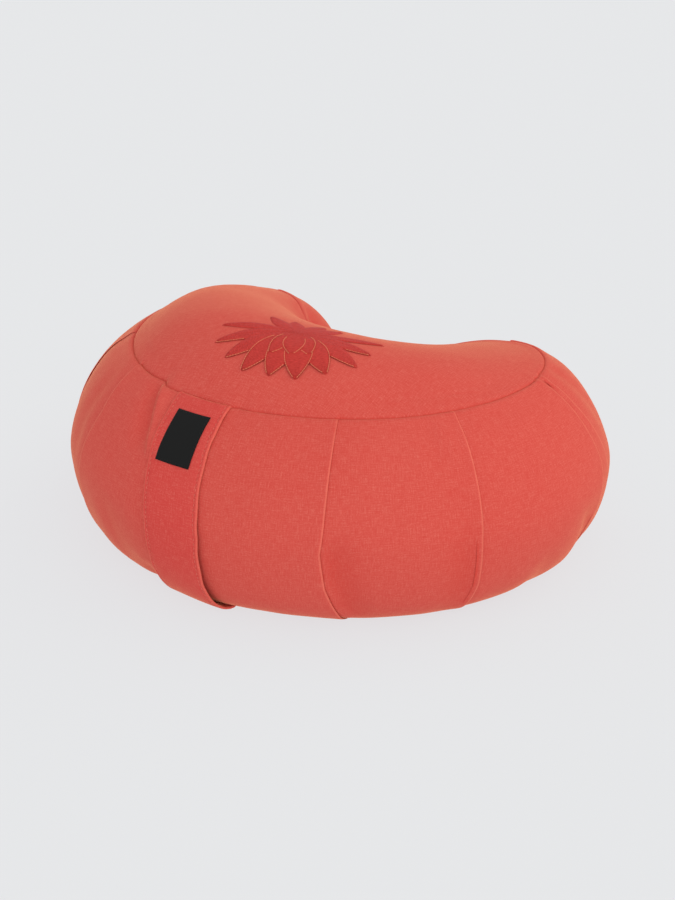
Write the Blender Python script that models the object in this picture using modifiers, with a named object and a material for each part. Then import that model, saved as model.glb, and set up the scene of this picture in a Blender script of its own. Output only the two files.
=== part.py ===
"""A crescent meditation cushion, modelled as a maker sews it.

The filled body has a crowned top panel, a side band set in with knife pleats, and a flat base. A wide
carry strap runs down the middle of the convex side, and a small woven label is sewn on the strap.

Metres, +Z up. The origin is on the floor under the middle of the crescent. The convex side faces -Y,
and the notch for the sitter's heels opens towards +Y.
"""

import math

import bmesh
import bpy
import numpy as np
from mathutils import Vector

# The sewn outline: an oval bent round an arc, until its back edge is the notch
HALF_LENGTH = 0.208
HALF_WIDTH = 0.069
NOTCH_HALF_WIDTH = 0.092  # the same on the notch side
NOTCH_CURVE = 0.85  # 1 is an oval, and less makes the lobes' inner sides fuller
BEND_RADIUS = 0.109

# Heights above the floor
SEAM_HEIGHT = 0.135
WIDEST_HEIGHT = 0.0645
BASE_SEAM_HEIGHT = 0.002
NOTCH_DROP = 0.024  # how far lower the top seam lies in the notch
NOTCH_DROP_CURVE = 3.5  # how late the crown falls to it
CROWN_RISE = 0.0315
CROWN_LEAN = 0.45  # the crown is fuller by this share at the -X lobe, and slacker at the +X lobe
SEAM_SINK = 0.0020  # the seams are drawn in by this much

# How far the filling pushes the band out past the sewn outline
FRONT_BULGE = 0.051
LOBE_BULGE = 0.0525
NOTCH_BULGE = 0.022
NOTCH_SPREAD = 1.2  # how far round the lobes the notch's bulge is felt: less reaches further
UPPER_CURVE = 1.58  # exponents of the band's two quarter arcs: 2 is an ellipse, 1 a straight slope
LOWER_CURVE = 1.9
BASE_SEAM_SHARE = 0.37  # the base seam's place, as a share of the bulge
LOBE_SEAM_SHARE = 0.23
CONTACT_INSET = 0.010  # from the base seam in to where the base panel meets the floor

# Rows of the body's mesh: shares of the way from the crown's middle to the seam, and down the band
CROWN_ROWS = (0.0, 0.2, 0.4, 0.58, 0.74, 0.86, 0.95)
BAND_STEPS = 14
BAND_ROWS = (0.035, *(step / BAND_STEPS for step in range(1, BAND_STEPS)), 0.965)
COLUMN_PITCH = 0.013  # between columns, at the widest height

# Knife pleats. Each fold lies over the panel on its right, as seen from outside.
# path: share of the way down the band, and there the fold's distance round the sewn outline from the
# middle of the convex side, to the right. depth: the step at the fold.
PLEATS = (
    {
        "path": ((0.0, 0.087), (0.3, 0.083), (0.5, 0.080), (0.65, 0.082), (0.8, 0.088), (1.0, 0.094)),
        "depth": 0.0034,
    },
    {"path": ((0.0, 0.162), (0.5, 0.160), (0.7, 0.161), (1.0, 0.157)), "depth": 0.0034},
    {"path": ((0.0, 0.245), (0.2, 0.249), (0.4, 0.253), (0.7, 0.247), (1.0, 0.240)), "depth": 0.0030},
    {"path": ((0.0, 0.2535), (0.2, 0.256), (0.4, 0.265), (1.0, 0.264)), "depth": 0.0026},
    {"path": ((0.0, 0.332), (1.0, 0.334)), "depth": 0.0032},
    {"path": ((0.0, 0.398), (1.0, 0.396)), "depth": 0.0028},
    {
        "path": ((0.0, -0.090), (0.1, -0.088), (0.25, -0.082), (0.4, -0.086), (1.0, -0.092)),
        "depth": 0.0034,
    },
    {"path": ((0.0, -0.160), (1.0, -0.157)), "depth": 0.0030},
    {"path": ((0.0, -0.245), (1.0, -0.247)), "depth": 0.0032},
    {"path": ((0.0, -0.325), (1.0, -0.324)), "depth": 0.0030},
    {"path": ((0.0, -0.392), (1.0, -0.390)), "depth": 0.0028},
)
FOLD_HOLD = 0.004  # the cloth this near to a fold follows it without being stretched
OVER_SHARE = 0.55  # of the step that the upper ply stands proud, and the rest is sunk
OVER_REACH = 0.013  # how fast the upper ply settles, away from its fold
UNDER_REACH = 0.008
SEWN_SHARE = 0.35  # of a pleat's depth that is left where it is sewn into a seam
OPENING_SHARE = 0.3  # of the way down the band, in which a pleat opens to its full depth
FOLD_COLUMNS = (-0.020, -0.008, -0.0006, 0.0009, 0.007, 0.018)

# Carry strap
STRAP_WIDTH = 0.044
STRAP_THICKNESS = 0.0024
# Share of the way down the band, and there the strap's middle, to the right of the convex side's middle
STRAP_PATH = ((0.0, -0.006), (0.2, -0.005), (0.3, -0.003), (0.5, 0.002), (0.7, 0.002), (1.0, 0.007))
STRAP_LIFT = 0.0036  # how far its slack right edge stands off, low on the side
STRAP_SLACK = (0.3, 0.98)  # where on the way down the band it is slack
STRAP_LEFT_SHARE = 0.25  # of that lift at its left edge
STRAP_TOP = 0.035  # shares of the way down the band
STRAP_FOOT = 0.985
STRAP_COLUMNS = 8

# Woven label
LABEL_WIDTH = 0.027
LABEL_THICKNESS = 0.0010
LABEL_SHIFT = -0.0052
LABEL_TOP = 0.11
LABEL_FOOT = 0.287
LABEL_ROWS = 6
LABEL_COLUMNS = 4

GAP = 0.0003  # between pieces that touch

CORAL = (0.672, 0.080, 0.070, 1.0)
STRAP_CORAL = (0.640, 0.072, 0.066, 1.0)
LABEL_BLACK = (0.010, 0.010, 0.011, 1.0)

FRONT_ANGLE = math.radians(270)


def outline_point(angle, share=1.0):
    """A point of the sewn outline, or of a smaller one like it inside."""
    along = HALF_LENGTH * math.cos(angle) * share
    side = math.sin(angle)
    across = (NOTCH_HALF_WIDTH * side**NOTCH_CURVE if side > 0 else HALF_WIDTH * side) * share
    turn = along / BEND_RADIUS
    reach = BEND_RADIUS - across
    return Vector((reach * math.sin(turn), BEND_RADIUS - reach * math.cos(turn), 0.0))


def outward(angle):
    """The outline's outward direction in plan."""
    step = 0.001
    along = outline_point(angle + step) - outline_point(angle - step)
    return Vector((along.y, -along.x, 0.0)).normalized()


def outline_table(count=3600):
    """Distances round the outline from the middle of the convex side, and the angles they reach."""
    angles = [FRONT_ANGLE + 2 * math.pi * i / count for i in range(count + 1)]
    points = [outline_point(angle) for angle in angles]
    distances = [0.0]
    for before, after in zip(points, points[1:]):
        distances.append(distances[-1] + (after - before).length)
    return np.array(distances), np.array(angles)


DISTANCES, ANGLES = outline_table()
PERIMETER = float(DISTANCES[-1])


def angle_at(distance):
    return float(np.interp(distance % PERIMETER, DISTANCES, ANGLES))


def seam_height(angle):
    """The top seam's height, which is lower in the notch."""
    return SEAM_HEIGHT - NOTCH_DROP * max(math.sin(angle), 0.0) ** 2


def bulge(angle):
    """How far out the band lies at its widest height, and at the base seam."""
    front = max(-math.sin(angle), 0.0) ** 2
    notch = max(math.sin(angle), 0.0) ** NOTCH_SPREAD
    lobe = 1.0 - front - notch
    push = FRONT_BULGE * front + LOBE_BULGE * lobe + NOTCH_BULGE * notch
    seam_share = BASE_SEAM_SHARE * (front + notch) + LOBE_SEAM_SHARE * lobe
    return push, push * seam_share


def band_profile(angle, down):
    """Offset and height at a share of the way down the band, from the top seam to the base seam."""
    push, seam_offset = bulge(angle)
    if down < 0.5:
        turn = down * math.pi
        upper = 2.0 / UPPER_CURVE
        offset = push * math.sin(turn) ** upper
        height = WIDEST_HEIGHT + (seam_height(angle) - WIDEST_HEIGHT) * math.cos(turn) ** upper
    else:
        turn = min((down - 0.5) * math.pi, math.pi / 2)
        lower = 2.0 / LOWER_CURVE
        offset = seam_offset + (push - seam_offset) * max(math.cos(turn), 0.0) ** lower
        drop = math.sin(turn) ** lower
        height = WIDEST_HEIGHT - (WIDEST_HEIGHT - BASE_SEAM_HEIGHT) * drop
    return offset, height


def band_point(angle, down, lift=0.0):
    """A point of the band, or one that is lifted off it along its own outward direction."""
    offset, height = band_profile(angle, down)
    step = 0.01
    above = band_profile(angle, max(down - step, 0.0))
    below = band_profile(angle, min(down + step, 1.0))
    slope = Vector((below[0] - above[0], below[1] - above[1])).normalized()
    place = outline_point(angle) + outward(angle) * (offset - slope.y * lift)
    place.z = height + slope.x * lift
    return place


def sewn_in(down):
    """How much of a pleat's depth shows at a share of the way down the band: least at its sewn ends."""
    open_share = min(1.0, down / OPENING_SHARE, (1.0 - down) / OPENING_SHARE)
    return SEWN_SHARE + (1.0 - SEWN_SHARE) * math.sin(open_share * math.pi / 2)


def fold_place(pleat, down):
    """A fold's distance round the outline."""
    return float(np.interp(down, *zip(*pleat["path"])))


def followed(distance, down):
    """A column's distance round the outline at one height, where the columns follow the folds."""
    places = [pleat["path"][0][1] + side for pleat in PLEATS for side in (-FOLD_HOLD, FOLD_HOLD)]
    shifts = [fold_place(pleat, down) - pleat["path"][0][1] for pleat in PLEATS for _ in range(2)]
    return distance + float(np.interp(distance, places, shifts, period=PERIMETER))


def pleat_push(distance, down):
    """How far the pleats push the band out or in."""
    push = 0.0
    for pleat in PLEATS:
        away = (distance - fold_place(pleat, down) + PERIMETER / 2) % PERIMETER - PERIMETER / 2
        shown = pleat["depth"] * sewn_in(down)
        if away < 0:
            push += shown * OVER_SHARE * math.exp(away / OVER_REACH)
        else:
            push -= shown * (1.0 - OVER_SHARE) * math.exp(-away / UNDER_REACH)
    return push


def column_distances():
    """Distances round the outline for the body's columns: close at the folds, even between them."""
    folds = sorted((p["path"][0][1] + away) % PERIMETER for p in PLEATS for away in FOLD_COLUMNS)
    columns = [folds[0]]
    for place in folds[1:] + [folds[0] + PERIMETER]:
        start = columns[-1]
        gap = place - start
        widest = (band_point(angle_at(place), 0.5) - band_point(angle_at(start), 0.5)).length
        steps = max(1, round(widest / COLUMN_PITCH))
        columns += [start + gap * (i + 1) / steps for i in range(steps)]
    return columns


def crown_point(angle, share):
    """A point of the crown: share is 0 at its middle and 1 at the seam."""
    place = outline_point(angle, share)
    lean = 1.0 - CROWN_LEAN * share * math.cos(angle)
    fall = (SEAM_HEIGHT - seam_height(angle)) * share**NOTCH_DROP_CURVE
    place.z = SEAM_HEIGHT - fall + CROWN_RISE * lean * (1.0 - share**2)
    return place


def pleated_point(distance, down):
    """A point of the band with its pleats, in a column that follows the folds."""
    place = followed(distance, down)
    return band_point(angle_at(place), down, pleat_push(place, down))


def body_column(distance):
    """One column of the body's wrap, from the crown's middle to where the base meets the floor."""
    angle = angle_at(distance)
    foot = angle_at(followed(distance, 1.0))
    sink = Vector((0.0, 0.0, SEAM_SINK))
    base_seam = band_point(foot, 1.0) + sink
    contact = base_seam - outward(foot) * CONTACT_INSET
    contact.z = 0.0
    column = [crown_point(angle, share) for share in CROWN_ROWS]
    column.append(crown_point(angle, 1.0) - sink)
    column += [pleated_point(distance, down) for down in BAND_ROWS]
    return column + [base_seam, contact]


def wrapped_sheet(columns, rows, place):
    """A flat grid whose vertices are put where place(column, row) says."""
    mesh = bmesh.new()
    bmesh.ops.create_grid(mesh, x_segments=columns, y_segments=rows, size=0.5)
    for vert in mesh.verts:
        column = round((vert.co.x + 0.5) * columns)
        row = round((0.5 - vert.co.y) * rows)
        vert.co = place(column, row)
    return mesh


def cloth_material(name, colour, roughness):
    material = bpy.data.materials.new(name)
    material.use_nodes = True
    shader = material.node_tree.nodes["Principled BSDF"]
    shader.inputs["Base Color"].default_value = colour
    shader.inputs["Roughness"].default_value = roughness
    shader.inputs["Metallic"].default_value = 0.0
    return material


def add_object(name, mesh, material, collection):
    data = bpy.data.meshes.new(name)
    mesh.to_mesh(data)
    mesh.free()
    data.materials.append(material)
    data.shade_smooth()
    data.set_sharp_from_angle(angle=math.radians(40))
    thing = bpy.data.objects.new(name, data)
    collection.objects.link(thing)
    return thing


def build_body(collection):
    """The filled cushion: one closed wrap from the crown's middle to the flat base."""
    columns = [body_column(distance) for distance in column_distances()]
    rows = len(columns[0]) - 1
    mesh = wrapped_sheet(len(columns) - 1, rows, lambda column, row: columns[column][row])
    bmesh.ops.remove_doubles(mesh, verts=mesh.verts, dist=0.00001)
    rim = [edge for edge in mesh.edges if edge.is_boundary]
    bmesh.ops.contextual_create(mesh, geom=rim)
    bmesh.ops.recalc_face_normals(mesh, faces=mesh.faces)
    return add_object("cushion_body", mesh, cloth_material("body_canvas", CORAL, 0.9), collection)


def front_angle(sideways, down):
    """The outline angle of a place beside the middle of the convex side, measured on the band."""
    push = band_profile(FRONT_ANGLE, down)[0]
    turn = sideways / (BEND_RADIUS + HALF_WIDTH + push)
    return FRONT_ANGLE + math.asin(BEND_RADIUS * turn / HALF_LENGTH)


def strap_middle(down):
    return float(np.interp(down, *zip(*STRAP_PATH)))


def strap_slack(across, down):
    """How far the strap stands off the band: across is -1 at its left edge and 1 at its right."""
    start, end = STRAP_SLACK
    slack = math.sin(math.pi * min(max((down - start) / (end - start), 0.0), 1.0))
    rightward = ((across + 1.0) / 2.0) ** 1.5
    return STRAP_LIFT * slack * (STRAP_LEFT_SHARE + (1.0 - STRAP_LEFT_SHARE) * rightward)


def strap_point(sideways, down, lift):
    """A place on the strap, sideways from its own middle line."""
    across = sideways / (STRAP_WIDTH / 2)
    angle = front_angle(strap_middle(down) + sideways, down)
    return band_point(angle, down, lift + strap_slack(across, down))


def thicken(thing, thickness):
    """Gives a sheet its thickness, on its outer side."""
    wall = thing.modifiers.new("thickness", "SOLIDIFY")
    wall.thickness = thickness
    wall.offset = 1.0
    wall.use_even_offset = True


def build_strap(collection):
    """A folded strip of the same canvas, from the top seam to the base seam."""
    rows = [STRAP_TOP, *BAND_ROWS[1:-1], STRAP_FOOT]

    def place(column, row):
        sideways = STRAP_WIDTH * (column / STRAP_COLUMNS - 0.5)
        return strap_point(sideways, rows[row], GAP)

    mesh = wrapped_sheet(STRAP_COLUMNS, len(rows) - 1, place)
    strap = add_object("carry_strap", mesh, cloth_material("strap_canvas", STRAP_CORAL, 0.9), collection)
    thicken(strap, STRAP_THICKNESS)
    return strap


def build_label(collection):
    """A plain woven rectangle on the strap, just under the top seam."""
    lift = GAP + STRAP_THICKNESS + GAP

    def place(column, row):
        sideways = LABEL_SHIFT + LABEL_WIDTH * (column / LABEL_COLUMNS - 0.5)
        down = LABEL_TOP + (LABEL_FOOT - LABEL_TOP) * row / LABEL_ROWS
        return strap_point(sideways - strap_middle(down), down, lift)

    mesh = wrapped_sheet(LABEL_COLUMNS, LABEL_ROWS, place)
    label = add_object("woven_label", mesh, cloth_material("label_weave", LABEL_BLACK, 0.6), collection)
    thicken(label, LABEL_THICKNESS)
    return label


def main():
    for thing in list(bpy.data.objects):
        bpy.data.objects.remove(thing, do_unlink=True)
    collection = bpy.data.collections.new("crescent_cushion")
    bpy.context.scene.collection.children.link(collection)
    build_body(collection)
    build_strap(collection)
    build_label(collection)


main()
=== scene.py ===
"""The looks of a crescent meditation cushion, laid out as an add-on and run as a script.

The filled body, its knife pleats, the carry strap, the blank label and the embroidered flower are made
here, round the packed model's solids. Metres, +Z up; the convex side faces -Y.
"""

import math

import bmesh
import bpy
import numpy as np
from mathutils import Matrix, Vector, noise
from mathutils.bvhtree import BVHTree
from mathutils.kdtree import KDTree


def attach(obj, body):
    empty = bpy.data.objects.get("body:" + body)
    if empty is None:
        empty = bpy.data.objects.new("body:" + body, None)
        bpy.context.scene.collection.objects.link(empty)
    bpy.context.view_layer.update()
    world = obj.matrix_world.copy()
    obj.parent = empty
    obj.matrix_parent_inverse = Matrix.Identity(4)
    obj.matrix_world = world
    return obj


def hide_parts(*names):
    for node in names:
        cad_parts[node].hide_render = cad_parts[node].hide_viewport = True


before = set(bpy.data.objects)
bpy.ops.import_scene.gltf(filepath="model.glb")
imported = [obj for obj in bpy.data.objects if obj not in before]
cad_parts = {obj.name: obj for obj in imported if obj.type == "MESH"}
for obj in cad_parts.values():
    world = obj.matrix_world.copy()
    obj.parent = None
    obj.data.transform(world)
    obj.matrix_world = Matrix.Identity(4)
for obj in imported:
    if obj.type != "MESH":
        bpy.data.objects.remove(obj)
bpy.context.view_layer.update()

bl_info = {
    "name": "Crescent cushion",
    "version": (1, 0, 0),
    "blender": (4, 5, 0),
    "location": "View3D > Sidebar > Cushion",
    "description": "Sews a filled crescent cushion with knife pleats, a carry strap and a blank label",
    "category": "Add Mesh",
}

MM = 0.001
FRONT_ANGLE = math.radians(270)
CROWN_PARTS = tuple(0.86 * step / 23 for step in range(24))  # the crown's rows, as shares of the outline
CROWN_MARGIN = 0.0085  # beside the seam, where the crown's rows lie close
CROWN_SPACING = 0.0034  # least space between the crown's columns
FOLD_HOLD = 0.004  # the cloth this near to a fold follows it without being stretched
OPENING_SHARE = 0.22  # share of the way down the band in which a pleat opens from its sewn end
LAP_HASTE = 1.8  # how much sooner a pleat's plies lap than it reaches its full depth
SEAM_SHADE = 0.0005  # how far the painted shade along a seam's groove reaches
RIDGE_COLUMNS = (-56.0, -18.0, 1.2)  # from, to and pitch of the close columns left of the strap, in mm
STRAP_SLACK = (0.30, 0.98)  # where on the way down the band the strap is slack
STRAP_LEFT_SHARE = 0.2  # of that slack at its left edge
BARE_GAP = 0.00035  # least gap under the strap
STITCH_GROOVE = 0.00035  # depth of the topstitching's groove

# Where each panel's cloth coordinates start, so that no weave runs on across a seam
BAND_CLOTH, BASE_CLOTH, STRAP_CLOTH = 1.0, 3.0, 5.0
BAND_STRETCH = 1.2  # the band bulges past its seam, so its cloth is taken as this much longer
STRAP_CLOTH_LENGTH = 0.19  # the strap's length in those coordinates

# Stitches in millimetres: a stitch's length, from one to the next, and half its thickness
LABEL_STITCH = (1.7, 2.4, 0.2)
OUTLINE_STITCH = (2.2, 2.0, 0.31)

WEAVE_PITCH = 0.00055
SATIN_PITCH = 0.00062

# The stage's lights: name, setting and tint
LIGHTS = (
    ("soft sun", "sun", (0.90, 1.14, 0.92)),
    ("low fill", "fill", (1.02, 0.99, 0.97)),
    ("warm rim", "rim", (1.0, 0.86, 0.66)),
)
LIGHT_WIDTH = math.radians(70)

# Knife pleats. Each fold lies over the panel on its right, as seen from outside, and one that faces
# -1.0 lies over the panel on its left.
# path: share of the way down the band, and there the fold's distance in millimetres round the sewn
# outline from the middle of the convex side, to the right. size: its depth, as a share.
PLEATS = (
    {
        "path": ((0.0, 87.0), (0.3, 83.0), (0.5, 80.0), (0.65, 82.0), (0.8, 88.0), (1.0, 94.0)),
        "size": 1.0,
    },
    {"path": ((0.0, 162.0), (0.5, 160.0), (0.7, 161.0), (1.0, 157.0)), "size": 1.0},
    {"path": ((0.0, 245.0), (0.2, 249.0), (0.4, 253.0), (0.7, 247.0), (1.0, 240.0)), "size": 1.0},
    {"path": ((0.0, 253.5), (0.2, 256.0), (0.4, 265.0), (1.0, 264.0)), "size": 0.8},
    {"path": ((0.0, 332.0), (0.5, 334.5), (1.0, 334.0)), "size": 0.9},
    {"path": ((0.0, 398.0), (0.4, 395.0), (1.0, 396.0)), "size": 0.8},
    {
        "path": ((0.0, -90.0), (0.1, -88.0), (0.25, -82.0), (0.4, -86.0), (1.0, -92.0)),
        "size": 1.1, "faces": -1.0,
    },
    {"path": ((0.0, -160.0), (0.5, -159.0), (1.0, -157.0)), "size": 0.9},
    {"path": ((0.0, -245.0), (0.4, -243.5), (1.0, -247.0)), "size": 0.9},
    {"path": ((0.0, -325.0), (0.6, -326.0), (1.0, -324.0)), "size": 0.9},
    {"path": ((0.0, -392.0), (0.5, -391.0), (1.0, -390.0)), "size": 0.8},
)

# A knife pleat in section, in millimetres: sideways and outwards, from the upper ply over the fold
# and back beneath it, then out again along the under ply
PLEAT_SECTION = (
    (-30.0, 0.00), (-22.0, 0.03), (-16.0, 0.10), (-11.0, 0.20), (-7.0, 0.34), (-4.0, 0.48),
    (-2.0, 0.60), (-0.7, 0.66), (-0.1, 0.62), (0.30, 0.50), (0.45, 0.30), (0.38, 0.12),
    (0.0, 0.00), (-1.2, -0.06), (-2.8, -0.12), (-3.8, -0.20), (-4.0, -0.32), (-3.4, -0.44),
    (-2.0, -0.50), (-0.4, -0.54), (1.2, -0.56), (2.6, -0.54), (4.5, -0.46), (7.5, -0.32),
    (12.0, -0.16), (18.0, -0.05), (26.0, 0.00),
)
HIDDEN_PLY = (10, 20)  # the section's points between which the cloth lies hidden

# Soft ridges and hollows that the filling and the cloth's pull leave in the band. line: shares down the
# band, and there the place in millimetres round the outline. rise: height, negative for a hollow.
# left, right: how far each flank reaches. ease: the share of the way down in which it fades in and out.
SOFT_FOLDS = (
    {"line": ((0.36, 85.0), (0.6, 87.0), (0.85, 97.0), (0.97, 101.0)),
     "rise": -3.6, "left": 4.5, "right": 12.0, "ease": 0.2},
    {"line": ((0.3, 156.0), (0.5, 153.0), (0.8, 153.0), (0.97, 150.0)),
     "rise": -3.0, "left": 11.0, "right": 6.5, "ease": 0.3},
    {"line": ((0.0, 149.5), (0.1, 149.5), (0.24, 151.0)),
     "rise": 0.9, "left": 3.0, "right": 2.5, "ease": 0.1},
    {"line": ((0.02, 141.0), (0.14, 141.0), (0.3, 143.0)),
     "rise": -0.7, "left": 5.0, "right": 4.0, "ease": 0.12},
    {"line": ((0.0, -49.0), (0.2, -30.0), (0.3, -23.0)),
     "rise": 3.0, "left": 1.3, "right": 9.0, "ease": 0.05},
    {"line": ((0.0, -55.0), (0.2, -36.0), (0.32, -30.0)),
     "rise": -2.6, "left": 9.0, "right": 3.5, "ease": 0.12},
    {"line": ((0.04, -108.0), (0.2, -102.0), (0.4, -104.0), (0.55, -108.0)),
     "rise": -1.2, "left": 9.0, "right": 6.0, "ease": 0.2},
    {"line": ((0.01, 250.0), (0.05, 250.5), (0.13, 252.5)),
     "rise": -1.0, "left": 2.5, "right": 2.2, "ease": 0.05},
    {"line": ((0.0, 272.0), (0.2, 277.0), (0.45, 284.0)),
     "rise": -1.3, "left": 7.0, "right": 5.0, "ease": 0.2},
    {"line": ((0.52, 234.0), (0.67, 241.0), (0.8, 240.0), (0.98, 236.0)),
     "rise": -3.0, "left": 5.0, "right": 9.0, "ease": 0.12},
    {"line": ((0.45, -58.0), (0.65, -51.0), (0.9, -45.0)),
     "rise": -1.5, "left": 8.0, "right": 13.0, "ease": 0.15},
    {"line": ((0.7, -24.0), (0.84, -25.0), (1.0, -25.0)),
     "rise": -2.0, "left": 10.0, "right": 3.0, "ease": 0.1},
    {"line": ((0.6, 205.0), (0.8, 207.0), (0.97, 203.0)),
     "rise": -1.4, "left": 8.0, "right": 8.0, "ease": 0.15},
    {"line": ((0.5, 292.0), (0.7, 296.0), (0.9, 298.0)),
     "rise": -1.6, "left": 7.0, "right": 9.0, "ease": 0.2},
    {"line": ((0.4, 325.0), (0.6, 326.0), (0.9, 327.0)),
     "rise": -2.4, "left": 12.0, "right": 5.0, "ease": 0.2},
    {"line": ((0.0, -390.0), (0.2, -390.0), (0.55, -388.0)),
     "rise": -3.5, "left": 30.0, "right": 26.0, "ease": 0.2},
    {"line": ((0.3, -152.0), (0.6, -151.0), (0.9, -150.0)),
     "rise": -1.8, "left": 5.0, "right": 11.0, "ease": 0.2},
    {"line": ((0.3, -251.0), (0.6, -252.0), (0.9, -253.0)),
     "rise": -1.6, "left": 11.0, "right": 5.0, "ease": 0.2},
    {"line": ((0.35, -318.0), (0.6, -318.0), (0.9, -317.0)),
     "rise": -1.8, "left": 5.0, "right": 11.0, "ease": 0.2},
)

# The top seam's line: millimetres round the outline, and there how far it strays outwards. It is drawn
# in at the folds and beside the strap, and lies proud over the strap's top end.
SEAM_LINE = (
    (-96.0, 0.0), (-90.5, 0.6), (-89.5, -0.5), (-80.0, 0.0), (-64.0, -0.8), (-53.0, -2.4), (-50.0, -1.8),
    (-45.0, 1.6), (-41.0, 2.2), (-36.0, 2.2), (-30.0, 1.5), (-28.0, 2.0), (0.0, 1.2), (14.0, 1.9),
    (16.5, 1.7), (18.5, -1.2), (24.0, 0.2), (30.0, 0.9), (36.0, 0.3), (60.0, 0.1), (84.0, 0.7),
    (86.5, 0.9), (88.0, -0.4), (96.0, 0.0), (136.0, 0.1), (146.0, 0.7), (152.0, 0.2), (161.5, 0.8),
    (163.2, -0.5), (176.0, 0.0), (230.0, 0.2),
    (244.5, 0.9), (246.2, -0.7), (252.5, 0.6), (255.0, -0.8), (268.0, 0.0), (331.0, 0.6), (333.5, -0.5),
    (345.0, 0.0), (397.0, 0.5), (399.5, -0.4), (410.0, 0.0),
)

# The strap's middle line: shares of the way down the band, and there its distance to the right of the
# middle of the convex side
STRAP_PATH = ((0.0, -0.006), (0.2, -0.005), (0.3, -0.003), (0.5, 0.002), (0.7, 0.002), (1.0, 0.007))


def length(name, description, default):
    return bpy.props.FloatProperty(
        name=name, description=description, default=default, unit="LENGTH", precision=4
    )


def share(name, description, default):
    return bpy.props.FloatProperty(name=name, description=description, default=default, subtype="FACTOR")


def amount(name, description, default):
    return bpy.props.FloatProperty(name=name, description=description, default=default)


def angle(name, description, degrees):
    return bpy.props.FloatProperty(
        name=name, description=description, default=math.radians(degrees), subtype="ANGLE"
    )


def position(name, description, default):
    return bpy.props.FloatVectorProperty(
        name=name, description=description, default=default, size=len(default)
    )


def colour(name, description, default):
    return bpy.props.FloatVectorProperty(
        name=name, description=description, default=(*default, 1.0), subtype="COLOR", size=4, min=0, max=1
    )


class CushionForm(bpy.types.PropertyGroup):
    """The sewn outline, the heights and the filling's push."""

    half_length: length("Half length", "Half of the outline oval's length, before it is bent", 0.208)
    half_width: length("Half width", "Half of the outline oval's width", 0.069)
    notch_half_width: length("Half width at the notch", "The same on the notch side", 0.092)
    notch_curve: amount("Notch curve", "1 is an oval, and less makes the lobes' inner sides fuller", 0.85)
    bend_radius: length("Bend radius", "From the bend's centre to the oval's long axis", 0.109)
    seam_height: length("Seam height", "Height of the top seam", 0.135)
    widest_height: length("Widest height", "Height at which the band stands out furthest", 0.0645)
    base_seam_height: length("Base seam height", "Height of the base seam", 0.002)
    notch_drop: length("Notch drop", "How far lower the top seam lies in the notch", 0.024)
    notch_drop_curve: amount("Notch drop curve", "How late the crown falls to the seam in the notch", 3.5)
    crown_rise: length("Crown rise", "Height of the crown over the seam", 0.0315)
    crown_lean: share("Crown lean", "How much fuller the crown is at one lobe than at the other", 0.45)
    front_bulge: length("Front bulge", "How far the band stands out of the outline in front", 0.051)
    lobe_bulge: length("Lobe bulge", "How far the band stands out at the lobes", 0.0525)
    notch_bulge: length("Notch bulge", "How far the band stands out in the notch", 0.022)
    notch_spread: amount("Notch spread", "How far round the lobes the notch's bulge is felt", 1.2)
    upper_curve: amount("Upper curve", "The band's curve over its widest height, 2 for an ellipse", 1.58)
    lower_curve: amount("Lower curve", "The band's curve under its widest height", 1.9)
    base_seam_share: share("Base seam", "The base seam's place, as a share of the bulge", 0.37)
    lobe_seam_share: share("Base seam at the lobes", "The same share at the lobes", 0.23)
    contact_inset: length("Contact inset", "From the base seam in to the floor", 0.010)


class CushionSewing(bpy.types.PropertyGroup):
    """Seams, pleats and the small unevenness of sewn cloth."""

    column_pitch: length("Column pitch", "Spacing of the mesh round the seam", 0.0036)
    row_pitch: length("Row pitch", "Spacing of the mesh down the band", 0.0030)
    seam_depth: length("Seam depth", "How deep the seam is drawn in", 0.0008)
    seam_width: length("Seam width", "Half width of the seam's groove", 0.00048)
    seam_roll: length("Seam roll", "Height of the cloth's roll beside the seam", 0.00025)
    notch_ease: share("Notch ease", "How much shallower the seam is in the notch", 0.75)
    stray: length("Stray", "How far the seam strays between its named kinks", 0.0003)
    pleat_scale: share("Pleat scale", "Height of the pleats' section", 1.0)
    sewn_share: share("Sewn share", "A pleat's depth where it is sewn in", 0.6)
    wander: length("Wander", "How far a fold line strays from its path", 0.0005)
    unevenness: length("Unevenness", "Height of the soft undulations of the filling", 0.0007)


class CushionFilling(bpy.types.PropertyGroup):
    """The cloth simulation that swells the panels between seams and folds."""

    voxel: length("Voxel", "Mesh size of the simulated skin", 0.006)
    pressure: amount("Pressure", "Filling pressure", 4.0)
    slack: length("Slack", "How much smaller the skin is than the finished form", 0.0018)
    most_move: length("Most move", "How far the swelling may move a point", 0.0045)
    frames: bpy.props.IntProperty(name="Frames", description="Frames that are simulated", default=20)


class CushionStrap(bpy.types.PropertyGroup):
    """The carry strap and its topstitching."""

    width: length("Width", "Width of the folded strap", 0.044)
    thickness: length("Thickness", "Thickness of the folded strap", 0.0019)
    lift: length("Lift", "How far its slack edge stands off, low on the side", 0.0032)
    stitch_inset: length("Stitch inset", "From each edge to its line of topstitching", 0.0026)
    stitch_length: length("Stitch length", "Length of a stitch", 0.0025)
    stitch_pitch: length("Stitch pitch", "From one stitch to the next", 0.0032)
    stitch_girth: length("Stitch girth", "Half thickness of a stitch", 0.0003)


class CushionLabel(bpy.types.PropertyGroup):
    """The blank woven label."""

    width: length("Width", "Width of the label", 0.027)
    height: length("Height", "Length of the label along the strap", 0.0342)
    thickness: length("Thickness", "Thickness of the label", 0.0008)
    shift: length("Shift", "How far left of the middle it is sewn", -0.0052)
    top: share("Top", "Share of the way down the band at its upper edge", 0.11)
    foot: share("Foot", "The same at its lower edge", 0.287)


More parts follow.
